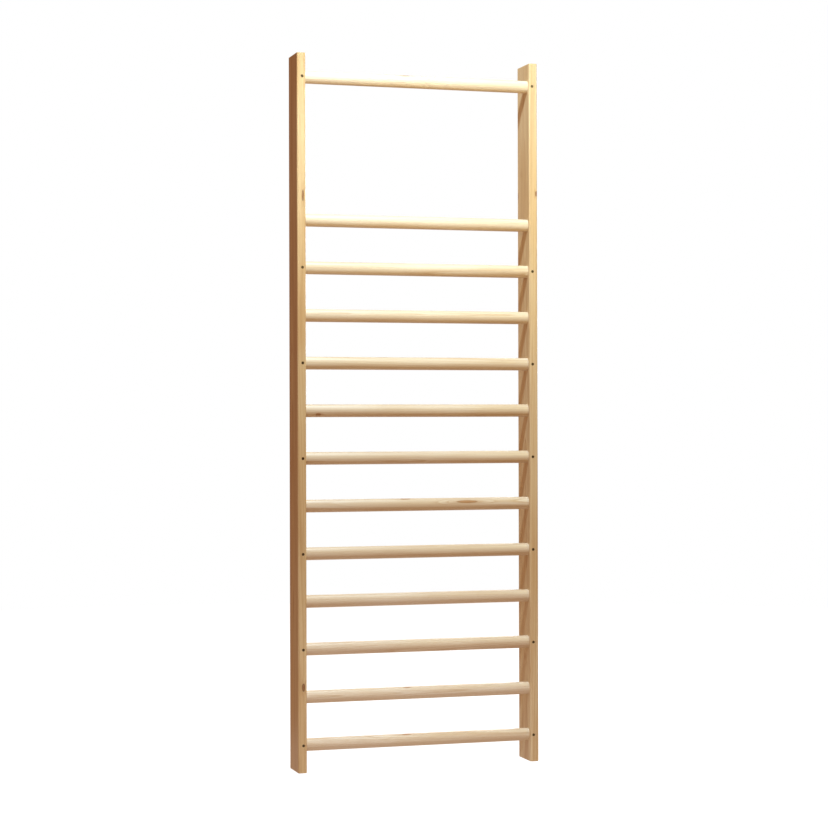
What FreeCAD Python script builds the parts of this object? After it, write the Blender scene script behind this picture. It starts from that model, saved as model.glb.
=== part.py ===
import FreeCAD, Part
import os

# Wooden wall bars: two upright boards joined by thirteen oval rungs, each piece its own solid.
# Millimetres, +Z up. The origin is on the floor, midway between the uprights and midway between
# their front and rear edges. The front, where the rungs are climbed, faces -Y; the wall is at +Y.

Vector = FreeCAD.Vector

# ---- overall ----
overall_height = 2260.0
overall_width = 800.0          # outer face to outer face

# ---- uprights: planed boards on edge ----
upright_thickness = 28.0       # along X
upright_depth = 112.0          # along Y
long_edge_radius = 4.0
end_edge_radius = 1.5

# ---- rungs: oval bars let into blind mortises ----
rung_height = 40.0             # the oval's long axis, upright
rung_depth = 30.0              # the oval's short axis, front to rear
rung_crown_radius = 12.0       # top and bottom of the oval, under half its depth
rung_setback = 9.0             # from the uprights' front edges back to the rungs
tenon_length = 22.0            # how far each end is let into its upright
tenon_end_chamfer = 1.0
lower_rung_count = 12          # evenly spaced
top_gap_spaces = 3             # rung spaces between the highest of these and the top rung
bottom_rung_centre = 86.0      # above the floor
top_rung_margin = 74.0         # from the top rung's centre up to the uprights' ends

# ---- fits ----
mortise_clearance = 0.2        # glue line all round the oval
mortise_floor_gap = 1.0        # behind the end of the tenon
screw_clearance = 0.1          # all round each screw

# ---- screws: countersunk, driven through the front edges into every second rung ----
screw_every = 2                # rungs per screw, counted from the bottom rung
screw_head_diameter = 9.0
screw_head_rim = 0.4
screw_shank_diameter = 4.5
screw_core_diameter = 3.0
thread_pitch = 2.0
plain_shank_length = 9.0       # below the head, before the thread
screw_sink = 1.5               # head below the upright's front edge
screw_point_cover = 2.5        # wood left behind the point, inside the rung
point_length = 4.0
recess_span = 5.0              # cross recess in the head
recess_width = 1.1
recess_depth = 1.8

overcut = 1.0                  # how far each cutting shape starts outside the wood or head

# ---- worked out from the above ----
front_y = -upright_depth / 2
rung_y = front_y + rung_setback + rung_depth / 2
inner_x = overall_width / 2 - upright_thickness
rung_length = 2 * (inner_x + tenon_length)
rung_spaces = lower_rung_count - 1 + top_gap_spaces
rung_pitch = (overall_height - bottom_rung_centre - top_rung_margin) / rung_spaces
screw_x = inner_x + tenon_length / 2
screw_length = rung_setback + rung_depth - screw_sink - screw_point_cover


def rung_centres():
    """Heights of the rungs' centres, from the bottom rung up."""
    lower = [bottom_rung_centre + i * rung_pitch for i in range(lower_rung_count)]
    return lower + [overall_height - top_rung_margin]


def has_screws(number):
    """Rungs are numbered from 1 at the bottom; the first one is screwed."""
    return (number - 1) % screw_every == 0


def oval_bar(growth, x_from, x_to, centre_z):
    """A straight bar along X: the rungs' four-arc oval, grown all round by a clearance."""
    half_height = rung_height / 2
    half_depth = rung_depth / 2
    crown_centre = half_height - rung_crown_radius
    side_radius = ((half_depth ** 2 + crown_centre ** 2 - rung_crown_radius ** 2)
                   / (2 * (half_depth - rung_crown_radius)))
    side_centre = side_radius - half_depth

    # where a crown arc meets a side arc, on the line through both centres
    reach = (side_radius + growth) / (side_radius - rung_crown_radius)
    meet_y = side_centre * (reach - 1)
    meet_z = crown_centre * reach

    def at(y, z):
        return Vector(x_from, rung_y + y, centre_z + z)

    crown = half_height + growth
    side = half_depth + growth
    arcs = [
        Part.Arc(at(-meet_y, meet_z), at(0, crown), at(meet_y, meet_z)),
        Part.Arc(at(meet_y, meet_z), at(side, 0), at(meet_y, -meet_z)),
        Part.Arc(at(meet_y, -meet_z), at(0, -crown), at(-meet_y, -meet_z)),
        Part.Arc(at(-meet_y, -meet_z), at(-side, 0), at(-meet_y, meet_z)),
    ]
    face = Part.Face(Part.Wire([arc.toShape() for arc in arcs]))
    return face.extrude(Vector(x_to - x_from, 0, 0))


def turned(profile, x, z):
    """Turn (radius, distance behind the front edge) points about a front-to-rear axis."""
    points = [Vector(x + radius, front_y + distance, z) for radius, distance in profile]
    face = Part.Face(Part.makePolygon(points + points[:1]))
    return face.revolve(Vector(x, front_y, z), Vector(0, 1, 0), 360)


def screw_hole(x, z):
    """Counterbore, countersink and bore, drawn at the screw's outer size plus its clearance."""
    head_radius = screw_head_diameter / 2 + screw_clearance
    bore_radius = screw_shank_diameter / 2 + screw_clearance
    cone_start = screw_sink + screw_head_rim
    bore_end = screw_sink + screw_length + screw_clearance
    return turned([
        (0, -overcut),
        (head_radius, -overcut),
        (head_radius, cone_start),
        (bore_radius, cone_start + head_radius - bore_radius),
        (bore_radius, bore_end - bore_radius),
        (0, bore_end),
    ], x, z)


def screw(x, z):
    """A countersunk wood screw; the thread is drawn as a row of ridges."""
    head_radius = screw_head_diameter / 2
    shank_radius = screw_shank_diameter / 2
    core_radius = screw_core_diameter / 2
    cone_start = screw_sink + screw_head_rim
    thread_start = screw_sink + plain_shank_length
    thread_end = screw_sink + screw_length - point_length
    turns = int((thread_end - thread_start) / thread_pitch)
    flank = thread_pitch / 5
    profile = [
        (0, screw_sink),
        (head_radius, screw_sink),
        (head_radius, cone_start),
        (shank_radius, cone_start + head_radius - shank_radius),
        (shank_radius, thread_start),
    ]
    for turn in range(turns):
        ridge_start = thread_start + turn * thread_pitch
        profile.append((core_radius, ridge_start + flank))
        profile.append((core_radius, ridge_start + thread_pitch - 2 * flank))
        profile.append((shank_radius, ridge_start + thread_pitch))
    profile.append((core_radius, thread_end + flank))
    profile.append((0, screw_sink + screw_length))
    body = turned(profile, x, z)

    slot_start = front_y + screw_sink - overcut
    slot_size = recess_depth + overcut
    across = Part.makeBox(recess_span, slot_size, recess_width,
                          Vector(x - recess_span / 2, slot_start, z - recess_width / 2))
    upward = Part.makeBox(recess_width, slot_size, recess_span,
                          Vector(x - recess_width / 2, slot_start, z - recess_span / 2))
    return body.cut(across.fuse(upward))


def screwed_heights():
    return [z for number, z in enumerate(rung_centres(), 1) if has_screws(number)]


def rung(number, centre_z):
    """One rung with a chamfer round each end and, where it is screwed, its two bores."""
    bar = oval_bar(0, -rung_length / 2, rung_length / 2, centre_z)
    end_edges = [edge for edge in bar.Edges if edge.BoundBox.XLength < 0.01]
    bar = bar.makeChamfer(tenon_end_chamfer, end_edges)
    if has_screws(number):
        bar = bar.cut(screw_hole(-screw_x, centre_z).fuse(screw_hole(screw_x, centre_z)))
    return bar


def right_upright():
    """A board with eased edges, a blind mortise for each rung and a hole for each screw."""
    board = Part.makeBox(upright_thickness, upright_depth, overall_height,
                         Vector(inner_x, front_y, 0))
    long_edges = [edge for edge in board.Edges if edge.BoundBox.ZLength > overall_height / 2]
    board = board.makeFillet(long_edge_radius, long_edges)
    end_edges = [edge for edge in board.Edges if edge.BoundBox.ZLength < 0.01]
    board = board.makeFillet(end_edge_radius, end_edges)

    mortise_floor = inner_x + tenon_length + mortise_floor_gap
    cuts = [oval_bar(mortise_clearance, inner_x - overcut, mortise_floor, z)
            for z in rung_centres()]
    cuts += [screw_hole(screw_x, z) for z in screwed_heights()]
    return board.cut(cuts)


def mirrored(shape):
    return shape.mirror(Vector(0, 0, 0), Vector(1, 0, 0))


def make_nodes():
    upright = right_upright()
    nodes = {"right_upright": upright, "left_upright": mirrored(upright)}
    for number, z in enumerate(rung_centres(), 1):
        nodes["rung_%02d" % number] = rung(number, z)
    nodes["right_rung_screws"] = Part.makeCompound([screw(screw_x, z) for z in screwed_heights()])
    nodes["left_rung_screws"] = Part.makeCompound([screw(-screw_x, z) for z in screwed_heights()])
    return nodes


def main():
    os.makedirs("parts", exist_ok=True)
    for name, shape in make_nodes().items():
        shape.exportStep("parts/%s.step" % name)
        print(name, "valid" if shape.isValid() else "NOT VALID",
              len(shape.Solids), "solid(s)", round(shape.Volume), "mm3")


main()
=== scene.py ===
import math

import bpy
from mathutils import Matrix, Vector


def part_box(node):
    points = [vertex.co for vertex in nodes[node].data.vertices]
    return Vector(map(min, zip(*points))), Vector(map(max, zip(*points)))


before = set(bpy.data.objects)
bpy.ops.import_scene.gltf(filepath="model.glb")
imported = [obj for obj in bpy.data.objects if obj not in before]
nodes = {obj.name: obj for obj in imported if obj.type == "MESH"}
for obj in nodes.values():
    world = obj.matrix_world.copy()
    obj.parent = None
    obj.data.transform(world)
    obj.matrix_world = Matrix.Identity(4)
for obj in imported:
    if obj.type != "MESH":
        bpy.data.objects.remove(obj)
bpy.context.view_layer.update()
rungNames = sorted(name for name in nodes if name.startswith("rung_"))
print("frame loaded:", len(nodes), "nodes")


def deselectAll():
    if bpy.context.object and bpy.context.object.mode != "OBJECT":
        bpy.ops.object.mode_set(mode="OBJECT")
    bpy.ops.object.select_all(action="DESELECT")


def radians(*degrees):
    return tuple(math.radians(d) for d in degrees)


# short ways to add and join nodes in one material
class Shader:
    def __init__(self, name):
        self.material = bpy.data.materials.new(name)
        self.material.use_nodes = True
        self.tree = self.material.node_tree
        self.surface = self.tree.nodes["Principled BSDF"]

    def node(self, kind, inputs=None, **settings):
        new = self.tree.nodes.new("ShaderNode" + kind)
        for key, value in settings.items():
            setattr(new, key, value)
        for socket, value in (inputs or {}).items():
            self.put(new.inputs[socket], value)
        return new

    def put(self, socket, value):
        if isinstance(value, bpy.types.NodeSocket):
            self.tree.links.new(value, socket)
        else:
            socket.default_value = value

    def math(self, operation, *values):
        return self.node("Math", dict(enumerate(values)), operation=operation).outputs[0]

    def vector(self, operation, *values):
        made = self.node("VectorMath", dict(enumerate(values)), operation=operation)
        return made.outputs["Value" if operation == "LENGTH" else "Vector"]

    # one range to another, smoothly and clamped
    def span(self, value, fromLow, fromHigh, toLow=0.0, toHigh=1.0):
        sockets = {"Value": value, "From Min": fromLow, "From Max": fromHigh,
                   "To Min": toLow, "To Max": toHigh}
        return self.node("MapRange", sockets, interpolation_type="SMOOTHSTEP").outputs["Result"]

    def noise(self, vector, scale, detail=2.0, roughness=0.5):
        sockets = {"Vector": vector, "Scale": scale, "Detail": detail, "Roughness": roughness}
        return self.node("TexNoise", sockets)

    def mix(self, amount, first, second, blend="MIX"):
        new = self.node("Mix", data_type="RGBA", blend_type=blend)
        self.put(new.inputs["Factor"], amount)
        self.put(new.inputs[6], first)
        self.put(new.inputs[7], second)
        return new.outputs[2]

    def ramp(self, value, *stops):
        new = self.node("ValToRGB", {"Fac": value})
        marks = new.color_ramp.elements
        while len(marks) < len(stops):
            marks.new(0.5)
        for mark, (position, colour) in zip(marks, stops):
            mark.position = position
            mark.color = (*colour, 1.0)
        return new.outputs["Color"]


view = {
    "aim": (-0.0024, 0.0, 1.1254),
    "azimuth": -16.83,       # degrees round from the front, towards the left upright
    "elevation": -0.124,
    "roll": -0.14,
    "distance": 6.790,
    "lens": 91.94,
}


def placeCamera(view):
    azimuth, elevation, roll = radians(view["azimuth"], view["elevation"], view["roll"])
    back = Vector((math.sin(azimuth) * math.cos(elevation),
                   -math.cos(azimuth) * math.cos(elevation),
                   math.sin(elevation)))
    bpy.ops.object.camera_add(location=Vector(view["aim"]) + back * view["distance"])
    camera = bpy.context.object
    camera.name = "camera"
    facing = (-back).to_track_quat("-Z", "Y")
    camera.rotation_euler = facing.to_euler()
    camera.rotation_euler.rotate_axis("Z", roll)
    camera.data.sensor_width = 36.0
    camera.data.lens = view["lens"]
    camera.data.clip_end = 100.0
    bpy.context.scene.camera = camera


deselectAll()
placeCamera(view)
print("camera placed")


stage = {
    "floorRadius": 6.0,
    "floorColour": (0.22, 0.22, 0.22, 1.0),
    "floorGlow": (0.97, 0.97, 0.97, 1.0),
    "roomLight": (0.345, 0.195, 0.120, 1.0),
}
lamps = {
    # a small soft box above and in front, between the planes of the two uprights
    "key": {"at": (-0.32, -1.50, 3.90), "aim": (0.0, -0.20, 1.2), "shape": "RECTANGLE",
            "size": (0.20, 0.34), "power": 111.0, "colour": (0.67, 0.865, 1.0)},
    "fill": {"at": (1.30, -1.60, 2.20), "aim": (0.0, 0.0, 1.2), "shape": "RECTANGLE",
             "size": (0.5, 0.8), "power": 6.1, "colour": (1.0, 0.92, 0.31)},
    # two small ones for the top and the foot, fanned out no further than they need
    "high": {"at": (-0.31, -1.60, 1.95), "aim": (0.05, 0.0, 2.02), "shape": "RECTANGLE",
             "size": (0.50, 0.20), "power": 1.25, "colour": (1.0, 0.97, 0.72), "spread": 64.0},
    "foot": {"at": (-0.50, -1.35, 1.10), "aim": (0.0, -0.02, 0.0), "shape": "RECTANGLE",
             "size": (0.90, 0.25), "power": 0.72, "colour": (0.62, 0.75, 1.0), "spread": 50.0},
    "rear": {"at": (2.3, 2.7, 2.1), "aim": (0.0, 0.0, 1.1), "shape": "RECTANGLE",
             "size": (1.2, 1.6), "power": 120.0, "colour": (0.92, 0.95, 1.0)},
    # light thrown back up by the floor round the object's foot
    "bounce": {"at": (-0.30, 0.0, -0.01), "aim": (-0.30, 0.0, 1.0), "shape": "ELLIPSE",
               "size": (1.8, 1.8), "power": 2.1, "colour": (0.90, 1.0, 1.0)},
}


# a pale floor that only the camera sees: the bounce lamp stands in for the light it returns
def makeFloor(stage):
    bpy.ops.mesh.primitive_circle_add(vertices=96, radius=stage["floorRadius"], fill_type="NGON",
                                      location=(0, 0, 0))
    floor = bpy.context.object
    floor.name = "floor"
    floor.visible_diffuse = False
    floor.visible_glossy = False
    floor.visible_shadow = False
    paint = Shader("floor_paint")
    paint.put(paint.surface.inputs["Base Color"], stage["floorColour"])
    paint.put(paint.surface.inputs["Roughness"], 0.9)
    paint.put(paint.surface.inputs["Emission Color"], stage["floorGlow"])
    paint.put(paint.surface.inputs["Emission Strength"], 1.0)
    floor.data.materials.append(paint.material)


# a white surround for the camera, and a dimmer, warmer one as ambient light
def lightRoom(stage):
    world = bpy.data.worlds.new("studio")
    bpy.context.scene.world = world
    world.use_nodes = True
    tree = world.node_tree
    background = tree.nodes["Background"]
    background.inputs["Color"].default_value = stage["roomLight"]
    white = tree.nodes.new("ShaderNodeBackground")
    white.inputs["Color"].default_value = (1, 1, 1, 1)
    white.inputs["Strength"].default_value = 1.0
    path = tree.nodes.new("ShaderNodeLightPath")
    mix = tree.nodes.new("ShaderNodeMixShader")
    tree.links.new(path.outputs["Is Camera Ray"], mix.inputs[0])
    tree.links.new(background.outputs[0], mix.inputs[1])
    tree.links.new(white.outputs[0], mix.inputs[2])
    tree.links.new(mix.outputs[0], tree.nodes["World Output"].inputs["Surface"])


def addLamp(name, lamp):
    bpy.ops.object.light_add(type="AREA", location=lamp["at"])
    light = bpy.context.object
    light.name = name
    towards = Vector(lamp["aim"]) - Vector(lamp["at"])
    light.rotation_euler = towards.to_track_quat("-Z", "Y").to_euler()
    light.data.shape = lamp["shape"]
    light.data.size, light.data.size_y = lamp["size"]
    light.data.energy = lamp["power"]
    light.data.color = lamp["colour"]
    light.data.spread = math.radians(lamp.get("spread", 180.0))


bpy.context.scene.view_settings.view_transform = "Standard"
makeFloor(stage)
lightRoom(stage)
for name, lamp in lamps.items():
    addLamp(name, lamp)
print("stage lit")


pine = {
    "resin": (0.50, 0.25, 0.09),
    "taper": 0.011,           # growth rings lean this far inwards for each metre up the trunk
    "wander": 0.0085,         # how far the grain strays sideways
    "unevenRings": 2.2,       # how far a ring strays from its even place, in ring widths
    # noises along the grain: scale, squeeze along the length, detail and roughness
    "stray": (5.5, 0.20, 3.0, 0.45),
    "fibres": (1000.0, 0.016, 3.0, 0.62),
    "canals": (1700.0, 0.045, 1.0, 0.5),
    "bands": (62.0, 0.055, 2.0, 0.5),
    "patches": (9.0, 0.25, 2.0, 0.5),
    "ragged": 0.45,           # how uneven a knot's edge is, in the knot's own sizes
    "raggedScale": 55.0,
    "push": 1.1,              # how far a knot pushes the rings aside, in the knot's own sizes
    "knotRings": 4.5,
    "roughness": 0.43,
    "lacquerRoughness": 0.36,
    "bumpStrength": 0.40,
    "bumpDepth": 0.00035,
}


# how far a point is from a knot's middle, where 1 is the knot's edge
def knotDistance(s, place, knot):
    shrink = tuple(1.0 / size for size in knot["size"])
    offset = s.vector("MULTIPLY", s.vector("SUBTRACT", place, knot["at"]), shrink)
    ragged = s.noise(place, pine["raggedScale"]).outputs["Fac"]
    uneven = s.math("MULTIPLY_ADD", ragged, pine["ragged"], -pine["ragged"] / 2)
    return s.math("ADD", s.vector("LENGTH", offset), uneven)


# pine with growth rings about a pith line, fine fibre streaks and knots where they are listed
def pineWood(name, wood):
    s = Shader(name)
    place = s.node("TexCoord").outputs["Object"]
    along = s.node("Mapping", {"Vector": place, "Location": wood["pith"],
                               "Rotation": wood["turn"]}, vector_type="TEXTURE").outputs[0]
    shifted = s.vector("ADD", along, (wood["seed"], wood["seed"] * 0.7, wood["seed"] * 1.9))

    def alongGrain(kind, output="Fac"):
        scale, squeeze, detail, roughness = pine[kind]
        drawnOut = s.vector("MULTIPLY", shifted, (1.0, 1.0, squeeze))
        return s.noise(drawnOut, scale, detail, roughness).outputs[output]

    # rings: distance from the pith line, less straight than a lathe would make it
    stray = s.vector("SUBTRACT", alongGrain("stray", "Color"), (0.5, 0.5, 0.5))
    stray = s.vector("MULTIPLY", stray, (pine["wander"] * 2, pine["wander"] * 2, 0.0))
    across = s.vector("MULTIPLY", s.vector("ADD", along, stray), (1.0, 1.0, 0.0))
    length = s.node("SeparateXYZ", {0: along}).outputs["Z"]
    radius = s.math("ADD", s.vector("LENGTH", across), s.math("MULTIPLY", length, pine["taper"]))

    nearest = None
    for knot in wood["knots"]:
        distance = knotDistance(s, place, knot)
        swell = min(knot["size"])
        bulge = s.math("EXPONENT", s.math("MULTIPLY", s.math("MULTIPLY", distance, distance), -0.25))
        radius = s.math("ADD", radius, s.math("MULTIPLY", bulge, swell * pine["push"]))
        nearest = distance if nearest is None else s.math("MINIMUM", nearest, distance)

    rings = s.math("DIVIDE", radius, wood["ringWidth"])
    uneven = s.node("TexNoise", {"W": rings, "Scale": 0.45, "Detail": 1.0},
                    noise_dimensions="1D").outputs["Fac"]
    rings = s.math("ADD", rings, s.math("MULTIPLY", uneven, pine["unevenRings"]))
    season = s.math("FRACT", rings)
    dense = s.node("TexNoise", {"W": s.math("FLOOR", rings), "Scale": 3.7},
                   noise_dimensions="1D").outputs["Fac"]

    streaks = alongGrain("fibres")
    canals = alongGrain("canals")
    bands = alongGrain("bands")
    patches = alongGrain("patches")

    # each ring runs from pale early wood to dark late wood, and ends sharply
    late = s.ramp(season, (0.0, (0, 0, 0)), (0.40, (0.10,) * 3), (0.74, (0.50,) * 3),
                  (0.91, (1, 1, 1)), (1.0, (0.04,) * 3))
    late = s.math("MULTIPLY", late, s.span(dense, 0.25, 0.75, 0.40, 1.0))
    late = s.math("MULTIPLY", late, s.span(streaks, 0.2, 0.8, 0.75, 1.1))
    early = s.mix(s.span(patches, 0.36, 0.64), (*wood["early"], 1), (*wood["heart"], 1))
    colour = s.mix(late, early, (*wood["late"], 1))
    colour = s.mix(s.span(bands, 0.42, 0.72, 0.0, wood["streaky"]), colour, (*wood["late"], 1))
    colour = s.mix(s.span(canals, 0.66, 0.76, 0.0, 0.40), colour, (*pine["resin"], 1))
    shade = s.span(streaks, 0.2, 0.8, 0.95, 1.04)
    grey = s.node("CombineColor", {0: shade, 1: shade, 2: shade}).outputs[0]
    colour = s.mix(1.0, colour, grey, "MULTIPLY")

    relief = s.math("ADD", s.math("MULTIPLY", late, 0.5), s.math("MULTIPLY", streaks, 0.6))
    if wood["knots"]:
        halo = s.span(nearest, 3.0, 1.0)
        colour = s.mix(s.math("MULTIPLY", halo, wood["halo"]), colour, (*pine["resin"], 1))
        yearly = s.math("FRACT", s.math("MULTIPLY", nearest, pine["knotRings"]))
        heart = s.mix(s.span(yearly, 0.1, 0.9, 0.0, 0.65), (*wood["knot"], 1), (*pine["resin"], 1))
        inside = s.span(nearest, 1.02, 0.84)
        colour = s.mix(inside, colour, heart)
        rim = s.math("MULTIPLY", s.span(nearest, 0.74, 0.93), s.span(nearest, 1.16, 0.98))
        colour = s.mix(s.math("MULTIPLY", rim, wood["rim"]), colour, (*wood["knotRim"], 1))
        relief = s.math("SUBTRACT", relief, s.math("MULTIPLY", rim, 1.5))

    s.put(s.surface.inputs["Base Color"], colour)
    dull = s.span(streaks, 0.2, 0.8, pine["roughness"] + 0.06, pine["roughness"] - 0.05)
    s.put(s.surface.inputs["Roughness"], dull)
    s.surface.inputs["Coat Weight"].default_value = wood["lacquer"]
    s.surface.inputs["Coat Roughness"].default_value = pine["lacquerRoughness"]

    bump = s.node("Bump", {"Height": relief, "Strength": pine["bumpStrength"],
                           "Distance": pine["bumpDepth"]})
    s.put(s.surface.inputs["Normal"], bump.outputs["Normal"])
    return s.material


def cover(piece, material):
    for slot in piece.material_slots:
        slot.material = material


# knots: the middle, and how far each reaches along X, Y and Z
boards = {
    "left_upright": {
        "pith": (-0.437, 0.012, 0.0), "turn": radians(0, 0, 15), "ringWidth": 0.0036, "seed": 3.1,
        "early": (0.77, 0.565, 0.295), "heart": (0.70, 0.465, 0.220), "late": (0.50, 0.275, 0.098),
        "knot": (0.26, 0.105, 0.035), "knotRim": (0.085, 0.036, 0.016), "halo": 0.30, "rim": 0.62,
        "streaky": 0.42, "lacquer": 0.18,
        "knots": [
            {"at": (-0.3815, -0.050, 1.812), "size": (0.0034, 0.014, 0.019)},
            {"at": (-0.3830, -0.052, 0.268), "size": (0.0050, 0.020, 0.012)},
            {"at": (-0.371, 0.022, 1.330), "size": (0.017, 0.0085, 0.011)},
            {"at": (-0.371, 0.030, 0.610), "size": (0.015, 0.0060, 0.008)},
            {"at": (-0.371, -0.012, 2.020), "size": (0.012, 0.0045, 0.006)},
        ],
    },
    "right_upright": {
        "pith": (0.440, -0.015, 0.0), "turn": radians(0, 0, 60), "ringWidth": 0.0038, "seed": 8.4,
        "early": (0.82, 0.64, 0.375), "heart": (0.76, 0.55, 0.290), "late": (0.58, 0.345, 0.145),
        "knot": (0.26, 0.105, 0.035), "knotRim": (0.085, 0.036, 0.016), "halo": 0.30, "rim": 0.62,
        "streaky": 0.40, "lacquer": 0.18,
        "knots": [
            {"at": (0.3965, -0.053, 1.838), "size": (0.0040, 0.012, 0.008)},
            {"at": (0.372, 0.055, 1.840), "size": (0.008, 0.0060, 0.012)},
            {"at": (0.401, 0.018, 1.905), "size": (0.017, 0.0090, 0.012)},
            {"at": (0.401, 0.034, 0.985), "size": (0.016, 0.0065, 0.009)},
            {"at": (0.401, -0.008, 0.335), "size": (0.017, 0.0080, 0.010)},
        ],
    },
}
bars = {
    "early": (0.88, 0.755, 0.565), "heart": (0.845, 0.70, 0.485), "late": (0.66, 0.455, 0.245),
    "knot": (0.50, 0.265, 0.115), "knotRim": (0.36, 0.185, 0.085), "halo": 0.24, "rim": 0.55,
    "streaky": 0.30, "lacquer": 0.55,
    "ringWidth": 0.0031,
    "pithReach": 0.034,       # from a rung's middle out to the pith line it was cut beside
    "pithTurn": 2.4,          # radians from one rung's pith to the next one's
    # marks: rung number, place along X, place round the oval (degrees up from the front),
    # and half the mark's length and height
    "marks": [
        (13, -0.040, 62, 0.014, 0.0018),
        (6, -0.045, 66, 0.016, 0.0018),
        (6, 0.160, 22, 0.034, 0.0044),
        (2, -0.040, 64, 0.012, 0.0016),
        (1, -0.042, 66, 0.015, 0.0018),
        (8, -0.330, -35, 0.008, 0.0040),
        (11, -0.180, 130, 0.010, 0.0045),
        (3, 0.260, 160, 0.012, 0.0050),
        (7, 0.020, 185, 0.010, 0.0045),
    ],
}


def rungWood(number, name):
    low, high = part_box(name)
    middle = (low + high) / 2
    halfHeight = (high.z - low.z) / 2
    halfDepth = (high.y - low.y) / 2
    angle = bars["pithTurn"] * number
    knots = []
    for rung, x, lift, halfLength, halfWidth in bars["marks"]:
        if rung == number:
            up = math.radians(lift)
            at = (x, middle.y - halfDepth * math.cos(up), middle.z + halfHeight * math.sin(up))
            knots.append({"at": at, "size": (halfLength, halfWidth * 1.5, halfWidth)})
    wood = dict(bars, knots=knots, seed=number * 1.37, turn=radians(0, 90, 0),
                pith=(0.0, middle.y + bars["pithReach"] * math.sin(angle),
                      middle.z + bars["pithReach"] * math.cos(angle)))
    return pineWood(name + "_pine", wood)


for name, wood in boards.items():
    cover(nodes[name], pineWood(name + "_pine", wood))
for number, name in enumerate(rungNames, 1):
    cover(nodes[name], rungWood(number, name))
print("pine done")


screws = {
    "dark": (0.10, 0.07, 0.035),
    "bright": (0.20, 0.15, 0.08),
    "metallic": 0.9,
    "wearScale": 900.0,
    "roughness": (0.35, 0.60),
}


def screwSteel():
    s = Shader("screw_zinc")
    place = s.node("TexCoord").outputs["Object"]
    wear = s.noise(place, screws["wearScale"], 3.0).outputs["Fac"]
    colour = s.ramp(wear, (0.3, screws["dark"]), (0.7, screws["bright"]))
    s.put(s.surface.inputs["Base Color"], colour)
    s.surface.inputs["Metallic"].default_value = screws["metallic"]
    s.put(s.surface.inputs["Roughness"], s.span(wear, 0.2, 0.8, *screws["roughness"]))
    return s.material


steel = screwSteel()
for name in ("left_rung_screws", "right_rung_screws"):
    cover(nodes[name], steel)
print("materials done")
